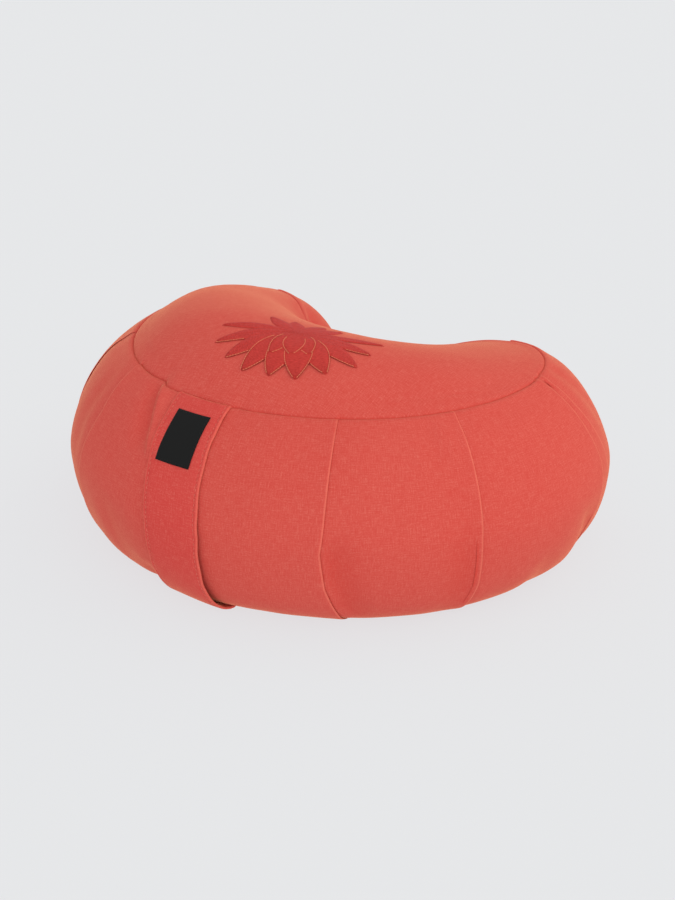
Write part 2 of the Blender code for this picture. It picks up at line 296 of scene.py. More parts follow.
class CushionFlower(bpy.types.PropertyGroup):
    """The embroidered flower on the crown."""

    heart: position("Heart", "Place of the flower's heart in plan", (0.0180, 0.0010))
    turn: angle("Turn", "Turn of the flower on the crown", 24)
    size: length("Size", "Length of its longest petal", 0.058)
    relief: length("Relief", "Height of the satin stitch", 0.0006)
    tier_height: length("Tier height", "How far each row of petals lies over the one beneath", 0.00015)


class CushionColours(bpy.types.PropertyGroup):
    """The cloths' and threads' colours."""

    canvas: colour("Canvas", "The cover's cloth", (0.579, 0.072, 0.056))
    canvas_pale: colour("Pale canvas", "Paler threads in the cloth", (0.645, 0.145, 0.109))
    canvas_deep: colour("Deep canvas", "Darker threads in the cloth", (0.530, 0.038, 0.030))
    strap: colour("Strap", "The strap's cloth", (0.576, 0.053, 0.046))
    # painted shade: mixed in along seams, over the pleats' hidden plies and in soft hollows
    crease: colour("Crease", "The cloth deep in a fold or seam", (0.535, 0.022, 0.013))
    # painted highlight: paler colour along fold edges and the strap's rolled edges, where light catches them
    fold_edge: colour("Fold edge", "The cloth worn pale along a fold", (0.774, 0.184, 0.129))
    sheen: colour("Sheen", "The nap's warm light at a grazing angle", (1.0, 0.46, 0.24))
    thread: colour("Thread", "The topstitching", (0.719, 0.147, 0.111))
    label: colour("Label", "The label's weave", (0.007, 0.007, 0.007))
    petal: colour("Petal", "The flower's satin stitch", (0.521, 0.033, 0.028))
    outline: colour("Outline", "The flower's outline thread", (0.774, 0.221, 0.120))


class CushionStage(bpy.types.PropertyGroup):
    """The floor, the light and the camera."""

    floor: colour("Floor", "The floor's colour", (0.08, 0.10, 0.10))
    floor_glow: colour("Floor glow", "Light that the floor gives off by itself", (0.707, 0.694, 0.710))
    ambient: amount("Ambient", "Strength of the even light", 0.815)
    ambient_tint: colour("Ambient tint", "The even light's colour", (0.970, 0.980, 1.0))
    sun: amount("Sun", "Strength of the soft light from the right", 0.40)
    sun_from: position("Sun from", "Where the soft light comes from", (0.75, -0.35, 0.65))
    rim: amount("Rim", "Strength of the warm light behind", 1.03)
    rim_from: position("Rim from", "Where the warm light comes from", (0.55, 0.75, 0.40))
    fill: amount("Fill", "Strength of the low light in front", 1.45)
    fill_from: position("Fill from", "Where the low light comes from", (0.65, -0.75, 0.06))
    azimuth: angle("Azimuth", "The camera's bearing", 34.72)
    elevation: angle("Elevation", "The camera's height angle", 24.12)
    distance: length("Distance", "From the camera to its target", 1.0117)
    target: position("Target", "What the camera looks at", (0.02496, 0.0367, 0.0684))
    focal: amount("Focal length", "In millimetres", 56.4)


GROUPS = {
    "cushion_form": CushionForm,
    "cushion_sewing": CushionSewing,
    "cushion_filling": CushionFilling,
    "cushion_strap": CushionStrap,
    "cushion_label": CushionLabel,
    "cushion_flower": CushionFlower,
    "cushion_colours": CushionColours,
    "cushion_stage": CushionStage,
}


def settings(name):
    return getattr(bpy.context.scene, "cushion_" + name)


def soft_step(value):
    """0 to 1, easing in and out, for a number or an array."""
    value = np.clip(value, 0.0, 1.0)
    return value * value * (3.0 - 2.0 * value)


def unit(vectors):
    return vectors / np.maximum(np.linalg.norm(vectors, axis=-1, keepdims=True), 1e-12)


def rumple(points, scale, seed=0.0):
    """Smooth noise from -1 to 1 at each point, with features of the given size."""
    shift = Vector((seed, -seed, 2.0 * seed))
    flat = points.reshape(-1, 3) / scale
    values = [noise.noise(Vector(place) + shift) for place in flat]
    return np.array(values).reshape(points.shape[:-1])


class Crescent:
    """The cushion's smooth form, worked out for arrays of places."""

    def __init__(self):
        form = settings("form")
        for name in CushionForm.__annotations__:
            setattr(self, name, getattr(form, name))
        self.angles = FRONT_ANGLE + np.linspace(0.0, 2.0 * math.pi, 3601)
        steps = np.linalg.norm(np.diff(self.outline(self.angles), axis=0), axis=1)
        self.distances = np.concatenate([[0.0], np.cumsum(steps)])
        self.perimeter = float(self.distances[-1])

    def outline(self, angle, part=1.0):
        """The sewn outline, or a smaller one like it inside."""
        along = self.half_length * np.cos(angle) * part
        side = np.sin(angle)
        inward = self.notch_half_width * np.maximum(side, 0.0) ** self.notch_curve
        across = np.where(side > 0.0, inward, self.half_width * side) * part
        turn = along / self.bend_radius
        reach = self.bend_radius - across
        flat = np.zeros_like(turn)
        return np.stack([reach * np.sin(turn), self.bend_radius - reach * np.cos(turn), flat], axis=-1)

    def outward(self, angle):
        along = self.outline(angle + 0.001) - self.outline(angle - 0.001)
        return unit(np.stack([along[..., 1], -along[..., 0], along[..., 2]], axis=-1))

    def angle_at(self, distance):
        return np.interp(distance % self.perimeter, self.distances, self.angles)

    def seam_fall(self, angle):
        """How far the top seam lies under its height in front."""
        return self.notch_drop * np.maximum(np.sin(angle), 0.0) ** 2

    def profile(self, angle, down):
        """The band's offset and height."""
        front = np.maximum(-np.sin(angle), 0.0) ** 2
        notch = np.maximum(np.sin(angle), 0.0) ** self.notch_spread
        lobe = 1.0 - front - notch
        push = self.front_bulge * front + self.lobe_bulge * lobe + self.notch_bulge * notch
        seam = push * (self.base_seam_share * (front + notch) + self.lobe_seam_share * lobe)
        turn = np.clip(down, 0.0, 1.0) * math.pi
        sine = np.maximum(np.sin(turn), 0.0)
        cosine = np.abs(np.cos(turn))
        upper = 2.0 / self.upper_curve
        lower = 2.0 / self.lower_curve
        over = down < 0.5
        offset = np.where(over, push * sine**upper, seam + (push - seam) * sine**lower)
        rise = (self.seam_height - self.seam_fall(angle) - self.widest_height) * cosine**upper
        drop = (self.widest_height - self.base_seam_height) * cosine**lower
        return offset, self.widest_height + np.where(over, rise, -drop)

    def band(self, distance, down):
        """Points of the band, from the top seam at 0 to the base seam at 1."""
        angle = self.angle_at(distance)
        offset, height = self.profile(angle, down)
        place = self.outline(angle) + self.outward(angle) * offset[..., None]
        place[..., 2] = height
        return place

    def band_frame(self, distance, down):
        """Points of the band, with the directions round it and out of it."""
        step, slope = 0.5 * MM, 0.004
        along = self.band(distance + step, down) - self.band(distance - step, down)
        upper, lower = np.maximum(down - slope, 0.0), np.minimum(down + slope, 1.0)
        fall = self.band(distance, lower) - self.band(distance, upper)
        along = unit(along)
        return self.band(distance, down), along, unit(np.cross(fall, along))

    def crown(self, distance, part, inset):
        """Points of the crown: a share of the outline, drawn in by a further inset."""
        angle = self.angle_at(distance)
        width = np.where(np.sin(angle) > 0.0, self.notch_half_width, self.half_width)
        support = 1.0 / np.sqrt((np.cos(angle) / self.half_length) ** 2 + (np.sin(angle) / width) ** 2)
        place = self.outline(angle, part) - self.outward(angle) * inset[..., None]
        full = np.clip(part - inset / support, 0.0, 1.0)
        lean = 1.0 - self.crown_lean * full * np.cos(angle)
        fall = self.seam_fall(angle) * full**self.notch_drop_curve
        place[..., 2] = self.seam_height - fall + self.crown_rise * lean * (1.0 - full**2)
        return place

    def crown_out(self, distance, part, inset):
        """The crown's outward direction."""
        step = 0.6 * MM
        place = self.crown(distance, part, inset)
        along = self.crown(distance + step, part, inset) - self.crown(distance - step, part, inset)
        inner = self.crown(distance, part, inset + step)
        out = unit(np.cross(place - inner, along))
        middle = np.broadcast_to(part, out.shape[:-1]) < 0.04
        out[middle] = (0.0, 0.0, 1.0)
        return out

    def middle_distance(self, sideways, down):
        """The distance round the outline of a place beside the middle of the convex side."""
        push = self.profile(np.full_like(down, FRONT_ANGLE), down)[0]
        turn = sideways / (self.bend_radius + self.half_width + push)
        angle = FRONT_ANGLE + np.arcsin(self.bend_radius * turn / self.half_length)
        wrapped = np.where(angle < FRONT_ANGLE, angle + 2.0 * math.pi, angle)
        found = np.interp(wrapped, self.angles, self.distances)
        return np.where(found > self.perimeter / 2, found - self.perimeter, found)


def new_object(name, mesh, material, smooth=True):
    """A finished mesh as an object at the origin, with its material."""
    data = bpy.data.meshes.new(name)
    mesh.to_mesh(data)
    mesh.free()
    if smooth:
        data.shade_smooth()
    if material:
        data.materials.append(material)
    thing = bpy.data.objects.new(name, data)
    bpy.context.scene.collection.objects.link(thing)
    return thing


def closed(mesh, nearest):
    """Merges a wrap's doubled vertices, closes its open end and turns its faces outwards."""
    bmesh.ops.remove_doubles(mesh, verts=mesh.verts, dist=nearest)
    bmesh.ops.contextual_create(mesh, geom=[edge for edge in mesh.edges if edge.is_boundary])
    bmesh.ops.recalc_face_normals(mesh, faces=mesh.faces)
    return mesh


def wrapped_grid(places, uvs=None, values=None):
    """A grid whose vertices are laid at places[row, column], with a cloth UV map and attributes."""
    rows, columns = places.shape[:2]
    mesh = bmesh.new()
    bmesh.ops.create_grid(mesh, x_segments=columns - 1, y_segments=rows - 1, size=0.5)
    layers = {name: mesh.verts.layers.float.new(name) for name in values or {}}
    where = {}
    for vert in mesh.verts:
        spot = (round((0.5 - vert.co.y) * (rows - 1)), round((vert.co.x + 0.5) * (columns - 1)))
        where[vert] = spot
        vert.co = places[spot]
        for name, layer in layers.items():
            vert[layer] = float(values[name][spot])
    if uvs is not None:
        layer = mesh.loops.layers.uv.new("Cloth")
        for face in mesh.faces:
            for loop in face.loops:
                loop[layer].uv = uvs[where[loop.vert]]
    return mesh


def surface_of(name):
    """A tree for finding where a finished piece's surface is."""
    graph = bpy.context.evaluated_depsgraph_get()
    data = bpy.data.objects[name].evaluated_get(graph).to_mesh()
    points = [vert.co.copy() for vert in data.vertices]
    return BVHTree.FromPolygons(points, [list(face.vertices) for face in data.polygons])


def heights_over(tree, places, outs, reach=0.02):
    """How far a surface lies outside each place, along its outward direction."""
    found = np.zeros(places.shape[:-1])
    for spot in np.ndindex(found.shape):
        start = Vector(places[spot]) + Vector(outs[spot]) * reach
        hit = tree.ray_cast(start, -Vector(outs[spot]), 2.0 * reach)
        if hit[0] is not None:
            found[spot] = reach - hit[3]
    return found


def smoothed(values, passes, wrap=False):
    """A grid of values, averaged with its neighbours; wrap joins its first and last columns."""
    for _ in range(passes):
        if wrap:
            sides = np.roll(values, 1, axis=1) + np.roll(values, -1, axis=1)
        else:
            padded = np.pad(values, ((0, 0), (1, 1)), mode="edge")
            sides = padded[:, :-2] + padded[:, 2:]
        padded = np.pad(values, ((1, 1), (0, 0)), mode="edge")
        values = (4.0 * values + sides + padded[:-2] + padded[2:]) / 8.0
    return values


def skin_mesh(crescent, slack):
    """The smooth form as one closed mesh, a little smaller than the finished cushion."""
    distances = np.linspace(0.0, crescent.perimeter, 181)
    crown_parts = np.linspace(0.0, 1.0, 15)[:-1]
    downs = np.linspace(0.0, 1.0, 29)
    none = np.zeros_like(distances)
    rows = [crescent.crown(distances, np.full_like(distances, part), none) for part in crown_parts]
    for down in downs:
        place, _, out = crescent.band_frame(distances, np.full_like(distances, down))
        rows.append(place - out * slack * math.sin(math.pi * min(down + 0.15, 1.0)))
    contact = rows[-1] - crescent.outward(crescent.angle_at(distances)) * crescent.contact_inset
    contact[..., 2] = 0.0
    rows.append(contact)
    return closed(wrapped_grid(np.array(rows)), 0.01 * MM)


def applied(thing):
    """Replaces an object's mesh with what its modifiers make of it."""
    graph = bpy.context.evaluated_depsgraph_get()
    data = bpy.data.meshes.new_from_object(thing.evaluated_get(graph))
    thing.modifiers.clear()
    old, thing.data = thing.data, data
    bpy.data.meshes.remove(old)


def pin_sewn_lines(thing, crescent):
    """Holds the skin at its seams and base, and more loosely along its folds."""
    whole = np.linspace(0.0, crescent.perimeter, 600)
    down = np.linspace(0.02, 0.98, 50)
    sewn, folds = [], []
    for level in (0.0, 1.0):
        sewn += [Vector(place) for place in crescent.band(whole, np.full_like(whole, level))]
    for pleat in PLEATS:
        folds += [Vector(place) for place in crescent.band(fold_line(pleat, down), down)]
    tree = KDTree(len(sewn) + len(folds))
    for index, place in enumerate(sewn + folds):
        tree.insert(place, index)
    tree.balance()
    group = thing.vertex_groups.new(name="sewn")
    for vert in thing.data.vertices:
        _, index, gap = tree.find(vert.co)
        hold = 1.0 if index < len(sewn) else 0.85
        weight = hold * float(soft_step((11.0 * MM - gap) / (7.0 * MM)))
        weight = 1.0 if vert.co.z < 3.0 * MM else weight
        group.add([vert.index], weight, "REPLACE")


def swollen_skin(crescent):
    """The skin after the filling has pushed it out: a tree of its surface."""
    filling = settings("filling")
    skin = new_object("skin", skin_mesh(crescent, filling.slack), None)
    remesh = skin.modifiers.new("voxels", "REMESH")
    remesh.mode = "VOXEL"
    remesh.voxel_size = filling.voxel
    applied(skin)
    pin_sewn_lines(skin, crescent)
    start = np.array([vert.co for vert in skin.data.vertices])
    cloth = skin.modifiers.new("cloth", "CLOTH")
    cloth.settings.quality = 6
    cloth.settings.mass = 0.3
    cloth.settings.tension_stiffness = 18.0
    cloth.settings.compression_stiffness = 18.0
    cloth.settings.shear_stiffness = 8.0
    cloth.settings.bending_stiffness = 0.6
    cloth.settings.use_pressure = True
    cloth.settings.uniform_pressure_force = filling.pressure
    cloth.settings.effector_weights.gravity = 0.0
    cloth.settings.vertex_group_mass = "sewn"
    cloth.collision_settings.use_collision = False
    scene = bpy.context.scene
    for number in range(1, filling.frames + 1):
        scene.frame_set(number)
    applied(skin)
    scene.frame_set(1)
    swollen = np.array([vert.co for vert in skin.data.vertices])
    move = swollen - start
    far = np.linalg.norm(move, axis=1, keepdims=True)
    capped = start + move * filling.most_move / np.maximum(far, filling.most_move)
    for vert, place in zip(skin.data.vertices, capped):
        vert.co = place
    finer = skin.modifiers.new("finer", "SUBSURF")
    finer.levels = 1
    finer.render_levels = 1
    applied(skin)
    tree = surface_of("skin")
    bpy.data.objects.remove(skin)
    return tree


def fold_line(pleat, down):
    """A fold's distance round the outline."""
    return np.interp(down, *zip(*pleat["path"])) * MM


def followed(crescent, distance, down):
    """Where columns lie at one row: they follow the folds, and are not stretched close beside them."""
    places = [fold_line(pleat, 0.0) + side for pleat in PLEATS for side in (-FOLD_HOLD, FOLD_HOLD)]
    moves = [fold_line(pleat, down) - fold_line(pleat, 0.0) for pleat in PLEATS for _ in range(2)]
    return distance + np.interp(distance, places, moves, period=crescent.perimeter)


def around(crescent, distance, place):
    """Distances from a place on the outline, the short way round."""
    half = crescent.perimeter / 2
    return (distance - place + half) % crescent.perimeter - half


def flat_section():
    """The pleat's section laid out flat: its hidden ply is pressed into a narrow strip at the fold."""
    section = np.array(PLEAT_SECTION) * MM
    flat = section[:, 0].copy()
    first, last = HIDDEN_PLY
    flat[first:last + 1] = np.linspace(flat[first], flat[last], last - first + 1)
    return flat, section


def body_columns(crescent, pitch):
    """The body's columns, as distances round the seam: the pleats' sections, and even spaces between."""
    flat = flat_section()[0]
    starts = [fold_line(pleat, 0.0) for pleat in PLEATS]
    columns = []
    for start, pleat in zip(starts, PLEATS):
        gaps = [abs(around(crescent, other, start)) for other in starts if other != start]
        near = flat[np.abs(flat) < min(gaps) / 2] * pleat.get("faces", 1.0)
        columns += list((start + near) % crescent.perimeter)
    near_strap = np.arange(*RIDGE_COLUMNS) * MM
    columns = sorted(columns + list(near_strap % crescent.perimeter))
    filled = []
    for column, following in zip(columns, columns[1:] + [columns[0] + crescent.perimeter]):
        steps = max(1, round((following - column) / pitch))
        filled += [column + (following - column) * step / steps for step in range(steps)]
    return np.array([*filled, filled[0] + crescent.perimeter])


def seam_rows(pitch, total):
    """Distances from a seam at which rows lie: close beside it, then even, up to a total."""
    near = [0.0, 0.4, 0.8, 1.3, 2.0, 3.0, 4.4, 6.2]
    rows = [step * MM for step in near]
    steps = max(1, round((total - rows[-1]) / pitch))
    return rows + [rows[-1] + (total - rows[-1]) * (i + 1) / steps for i in range(steps)]


def band_rows(crescent, pitch):
    """Shares down the band for its rows, and their distance along the cloth from the nearer seam."""
    downs = np.linspace(0.0, 1.0, 2001)
    line = crescent.band(np.zeros_like(downs), downs)
    walked = np.concatenate([[0.0], np.cumsum(np.linalg.norm(np.diff(line, axis=0), axis=1))])
    half = seam_rows(pitch, walked[-1] / 2)
    marks = np.array(half + [walked[-1] - mark for mark in reversed(half[:-1])])
    return np.interp(marks, walked, downs), marks, np.minimum(marks, walked[-1] - marks)


def seam_dip(sewing, gap):
    """How far the cloth is drawn in, or rolls up, beside a seam."""
    groove = -sewing.seam_depth * math.exp(-((gap / sewing.seam_width) ** 2))
    roll = sewing.seam_roll * math.exp(-(((gap - 3.0 * MM) / (1.8 * MM)) ** 2))
    return groove + roll


def seam_painted_shade(gap):
    """How much of the painted shade along the seam's groove shows at a distance from it."""
    return math.exp(-((gap / SEAM_SHADE) ** 2))


def seam_stray(crescent, sewing, distance):
    """How far the top seam strays outwards from the even outline."""
    line = np.interp(distance, *(np.array(SEAM_LINE) * MM).T, period=crescent.perimeter)
    turn = distance / crescent.perimeter * 2.0 * math.pi
    loop = np.stack([np.cos(turn), np.sin(turn), 0.0 * turn], axis=-1)
    return line + sewing.stray * rumple(loop, 0.09, 3.0)


def pleat_rows(crescent, sewing, distance, down, gap):
    """What the pleats do at one row: sideways and outward moves, the hidden ply painted in shade, and the
    fold's edge painted as a highlight.
    """
    flat, section = flat_section()
    side, out, hidden, edge = (np.zeros(len(distance)) for _ in range(4))
    within = np.arange(len(flat))
    # ply marks the hidden ply, painted in shade; tip marks the fold's edge, painted as a highlight
    ply = (within > HIDDEN_PLY[0]) & (within < HIDDEN_PLY[1])
    tip = (within >= HIDDEN_PLY[0] - 2) & (within <= HIDDEN_PLY[0])
    opened = float(soft_step(min(down, 1.0 - down) / OPENING_SHARE))
    shown = sewing.sewn_share + (1.0 - sewing.sewn_share) * opened
    shown *= float(soft_step((gap + 0.2 * MM) / (1.6 * MM)))
    lapped = min(1.0, LAP_HASTE * shown)
    for index, pleat in enumerate(PLEATS):
        faces = pleat.get("faces", 1.0)
        away = around(crescent, distance, fold_line(pleat, 0.0)) * faces
        stray = noise.noise(Vector((down * 5.0, index * 3.7, 0.5))) * math.sin(math.pi * down)
        side += sewing.wander * stray * np.exp(-((away / (9.0 * MM)) ** 2))
        side += np.interp(away, flat, section[:, 0] - flat, left=0.0, right=0.0) * lapped * faces
        height = np.interp(away, flat, section[:, 1], left=0.0, right=0.0)
        out += height * shown * pleat["size"] * sewing.pleat_scale
        # painted shade over the hidden ply, and a painted highlight along the fold's edge
        hidden += np.interp(away, flat, ply.astype(float), left=0.0, right=0.0) * lapped * pleat["size"]
        edge += np.interp(away, flat, tip.astype(float), left=0.0, right=0.0) * shown
    return side, out, hidden, edge


def soft_folds(crescent, distance, down):
    """How far the soft ridges and hollows push the band out or in at one row."""
    push = np.zeros(len(distance))
    for fold in SOFT_FOLDS:
        shares, places = zip(*fold["line"])
        ends = min((down - shares[0]) / fold["ease"], (shares[-1] - down) / fold["ease"])
        if shares[0] == 0.0:
            ends = (shares[-1] - down) / fold["ease"]
        away = around(crescent, distance, np.interp(down, shares, places) * MM) / MM
        flank = np.where(away < 0.0, away / fold["left"], away / fold["right"])
        push += fold["rise"] * MM * float(soft_step(ends)) * np.exp(-(flank**2))
    return push


def base_rows(crescent, distance, last):
    """The two rows from the base seam in to where the base panel meets the floor."""
    foot = crescent.angle_at(followed(crescent, distance, 1.0))
    contact = last - crescent.outward(foot) * crescent.contact_inset
    contact[:, 2] = 0.0
    halfway = (last + contact) / 2.0
    halfway[:, 2] = last[:, 2] * 0.35
    return halfway, contact


def body_places(crescent):
    """The body's mesh as arrays: places, cloth coordinates, and how much painted shade and painted highlight
    each place takes.
    """
    sewing = settings("sewing")
    tree = swollen_skin(crescent)
    distance = body_columns(crescent, sewing.column_pitch)
    stray = seam_stray(crescent, sewing, distance)
    none = np.zeros_like(distance)
    smooth, places, uvs, crease, fold = [], [], [], [], []

    insets = seam_rows(sewing.row_pitch, CROWN_MARGIN)
    crown = [(part, 0.0) for part in CROWN_PARTS] + [(1.0, inset) for inset in reversed(insets[1:])]
    beside = crescent.outward(crescent.angle_at(distance))
    drawn_in = 1.0 - sewing.notch_ease * np.sqrt(np.maximum(np.sin(crescent.angle_at(distance)), 0.0))
    for part, inset in crown:
        parts, drawn = np.full_like(distance, part), np.full_like(distance, inset)
        place = crescent.crown(distance, parts, drawn)
        out = crescent.crown_out(distance, parts, drawn)
        smooth.append((place, out))
        gap = inset if part == 1.0 else 20.0 * MM
        place = place + out * (seam_dip(sewing, gap) * drawn_in)[:, None]
        place = place + beside * (stray * math.exp(-gap / (7.0 * MM)))[:, None]
        places.append((place, out, gap))
        # painted shade along the top seam's groove
        crease.append(seam_painted_shade(gap) * drawn_in)
        fold.append(none)

    rise = crescent.crown_out(distance, np.ones_like(distance), none)
    for down, mark, gap in zip(*band_rows(crescent, sewing.row_pitch)):
        side, push, hidden, edge = pleat_rows(crescent, sewing, distance, down, gap)
        lying = followed(crescent, distance, down)
        soft = soft_folds(crescent, lying, down) * float(soft_step(gap / (9.0 * MM)))
        push = push + soft
        place, along, out = crescent.band_frame(lying, np.full_like(distance, down))
        smooth.append((place, out))
        if down == 0.0:
            out = unit(out + rise)
        shift = stray * math.exp(-gap / (9.0 * MM)) if down < 0.5 else none
        place = place + along * side[:, None] + out * (push + seam_dip(sewing, gap) * drawn_in)[:, None]
        place = place + beside * shift[:, None]
        places.append((place, out, gap))
        uvs.append(np.stack([lying * BAND_STRETCH + BAND_CLOTH, np.full_like(distance, mark)], axis=-1))
        # painted shade: the seam's groove, the pleats' hidden plies, and the soft hollows, darker the deeper
        # they are
        shade = 0.8 * np.clip(-soft / (3.6 * MM), 0.0, 1.0)
        crease.append(seam_painted_shade(gap) * drawn_in + hidden + shade)
        # painted highlight along the pleats' fold edges
        fold.append(edge)

    points = np.array([place for place, _, _ in places])
    outs = np.array([out for _, out, _ in places])
    gaps = np.array([gap for _, _, gap in places])
    points[:, -1], outs[:, -1] = points[:, 0], outs[:, 0]
    free = soft_step(gaps / (12.0 * MM))[:, None] * np.ones(len(distance))
    if tree:
        form, facing = (np.array(part) for part in zip(*smooth))
        cap = settings("filling").most_move
        swell = smoothed(np.clip(heights_over(tree, form, facing), -cap, cap), 3, wrap=True)
        points = points + outs * (swell * free)[..., None]
    soft = rumple(points * np.array([1.0, 1.0, 0.55]), 34.0 * MM, 11.0)
    fine = rumple(points * np.array([1.0, 1.0, 0.45]), 13.0 * MM, 5.0)
    uneven = sewing.unevenness * (soft + 0.28 * fine) * (0.4 + 0.6 * free)
    points = points + outs * uneven[..., None]
    points[:, -1] = points[:, 0]
    halfway, contact = base_rows(crescent, distance, points[-1])
    points = np.concatenate([points, [halfway, contact]])
    points[..., 2] = np.maximum(points[..., 2], 0.0)
    points = thin_out_crown(points, distance, len(crown))
    base = contact[:, :2] + BASE_CLOTH
    uvs = [*points[:len(crown), :, :2], *uvs, base, base]
    values = {"crease": np.array([*crease, none, none]), "fold_edge": np.array([*fold, none, none])}
    return points, np.array(uvs), values


def thin_out_crown(points, distance, crown_rows):
    """Lets neighbouring columns meet towards the crown's middle, so that its faces stay even."""
    anchors = list(range(len(distance)))
    for row in range(crown_rows - 1, -1, -1):
        part = CROWN_PARTS[row] if row < len(CROWN_PARTS) else 1.0
        least = CROWN_SPACING / max(part, 0.06) if row < crown_rows - 4 else 0.0
        kept = [anchors[0]]
        for anchor in anchors[1:]:
            if distance[anchor] - distance[kept[-1]] >= least or anchor == anchors[-1]:
                kept.append(anchor)
        anchors = kept
        snapped = np.searchsorted(anchors, np.arange(len(distance)), side="right") - 1
        points[row] = points[row][np.array(anchors)[snapped]]
        if row == 0:
            points[row] = points[row].mean(axis=0)
    return points


def build_body():
    """The filled cushion with its seams and folded pleats."""
    mesh = closed(wrapped_grid(*body_places(Crescent())), 0.004 * MM)
    body = new_object("cushion", mesh, canvas_material("coral canvas", settings("colours").canvas))
    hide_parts("cushion_body")
    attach(body, "root")


def strap_middle(down):
    return np.interp(down, *zip(*STRAP_PATH))


def strap_frame(crescent, sideways, down):
    """The band under the strap at places sideways from the strap's own middle line."""
    return crescent.band_frame(crescent.middle_distance(strap_middle(down) + sideways, down), down)


def strap_slack(sideways, down):
    """How far the strap stands off the band, most at its right edge and low down."""
    strap = settings("strap")
    across = sideways / (strap.width / 2)
    start, end = STRAP_SLACK
    low = np.sin(math.pi * np.clip((down - start) / (end - start), 0.0, 1.0) ** 1.5)
    rightward = (np.clip(across + 1.0, 0.0, 2.0) / 2.0) ** 1.5
    return strap.lift * low * (STRAP_LEFT_SHARE + (1.0 - STRAP_LEFT_SHARE) * rightward)


def strap_section():
    """The strap in section: sideways and outwards, once round, with its edges rolled and stitched."""
    strap = settings("strap")
    half, thick = strap.width / 2, strap.thickness
    line = half - strap.stitch_inset
    across = [0.0, 5.0 * MM, 10.0 * MM, 15.0 * MM, line - 1.6 * MM, line - 0.7 * MM, line]
    across += [line + 0.7 * MM, half - 1.1 * MM, half - 0.45 * MM, half - 0.1 * MM, half]
    top = []
    for place in across:
        groove = STITCH_GROOVE * math.exp(-(((place - line) / (0.75 * MM)) ** 2))
        rolled = max(0.0, (place - (half - 1.2 * MM)) / (1.2 * MM))
        top.append((place, thick * (0.5 + 0.5 * math.sqrt(max(0.0, 1.0 - rolled**2))) - groove))
    bottom = [(place, thick - height) for place, height in reversed(top) if height > thick * 0.5]
    bottom = [(place, min(height, 0.25 * thick)) for place, height in bottom]
    right = top + bottom
    left = [(-place, height) for place, height in reversed(right)]
    return np.array(right + left[1:])


def build_strap():
    """The carry strap, a folded strip over the side, sewn into both seams."""
    crescent = Crescent()
    strap = settings("strap")
    tree = surface_of("cushion")
    section = strap_section()
    downs = np.concatenate([[0.004, 0.012, 0.022], np.linspace(0.035, 0.965, 84), [0.98, 0.99]])
    sideways = np.broadcast_to(section[:, 0], (len(downs), len(section)))
    level = np.broadcast_to(downs[:, None], sideways.shape)
    wave = 0.35 * MM * np.sin(level * 40.0 + 1.0) * np.sin(level * 13.0)
    across = np.linspace(-strap.width / 2, strap.width / 2, 31)
    aside, deep = np.meshgrid(across, downs)
    base, _, up = strap_frame(crescent, aside, deep)
    flat = heights_over(tree, base, up)
    flat = smoothed(np.maximum(flat, smoothed(flat, 6)), 8)
    lying = np.array([np.interp(section[:, 0], across, row) for row in flat])
    place, along, out = strap_frame(crescent, sideways, level)
    tuck = soft_step((level - 0.004) / 0.03) * soft_step((0.992 - level) / 0.02)
    lift = lying + strap_slack(sideways, level) + (BARE_GAP + section[:, 1]) * (0.25 + 0.75 * tuck)
    lift = lift - 1.6 * MM * (1.0 - tuck)
    edge = (np.abs(sideways) / (strap.width / 2)) ** 4
    points = place + out * lift[..., None] + along * (wave * edge)[..., None]
    points[..., 2] = np.maximum(points[..., 2], 0.4 * MM)
    uvs = np.stack([sideways + 0.5, level * STRAP_CLOTH_LENGTH + STRAP_CLOTH], axis=-1)
    # painted highlight along the strap's rolled edges
    edge_highlight = np.exp(-(((strap.width / 2 - np.abs(sideways)) / (0.9 * MM)) ** 2))
    mesh = wrapped_grid(points, uvs, {"fold_edge": edge_highlight, "crease": 0.0 * edge_highlight})
    bmesh.ops.remove_doubles(mesh, verts=mesh.verts, dist=0.005 * MM)
    bmesh.ops.holes_fill(mesh, edges=[edge for edge in mesh.edges if edge.is_boundary])
    bmesh.ops.recalc_face_normals(mesh, faces=mesh.faces)
    piece = new_object("strap", mesh, canvas_material("strap canvas", settings("colours").strap))
    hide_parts("carry_strap")
    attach(piece, "root")


def along_run(mark, walked, line):
    """The place at a distance along a line."""
    return np.array([np.interp(mark, walked, line[:, axis]) for axis in range(3)])


def stitch_line(mesh, line, outs, stitch, pitch, girth):
    """Adds short rounded stitches along a line that lies on cloth."""
    steps = np.linalg.norm(np.diff(line, axis=0), axis=1)
    walked = np.concatenate([[0.0], np.cumsum(steps)])
    for start in np.arange(pitch / 2, walked[-1] - stitch, pitch):
        first, last = (along_run(mark, walked, line) for mark in (start, start + stitch))
        out = unit(along_run(start, walked, outs))
        along = unit(last - first)
        made = bmesh.ops.create_icosphere(mesh, subdivisions=1, radius=1.0)
        across = np.cross(out, along)
        middle = (first + last) / 2
        for vert in made["verts"]:
            x, y, z = vert.co
            vert.co = middle + along * x * stitch / 2 + across * y * girth + out * z * girth * 0.7


def build_topstitching():
    """Topstitching along both edges of the strap."""
    crescent = Crescent()
    strap = settings("strap")
    tree = surface_of("strap")
    mesh = bmesh.new()
    downs = np.linspace(0.03, 0.975, 240)
    for side in (-1.0, 1.0):
        sideways = np.full_like(downs, side * (strap.width / 2 - strap.stitch_inset))
        place, _, out = strap_frame(crescent, sideways, downs)
        place = place + out * (heights_over(tree, place, out) + 0.15 * MM)[:, None]
        stitch_line(mesh, place, out, strap.stitch_length, strap.stitch_pitch, strap.stitch_girth)
    thread = thread_material("coral thread", settings("colours").thread)
    piece = new_object("strap_topstitching", mesh, thread)
    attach(piece, "root")


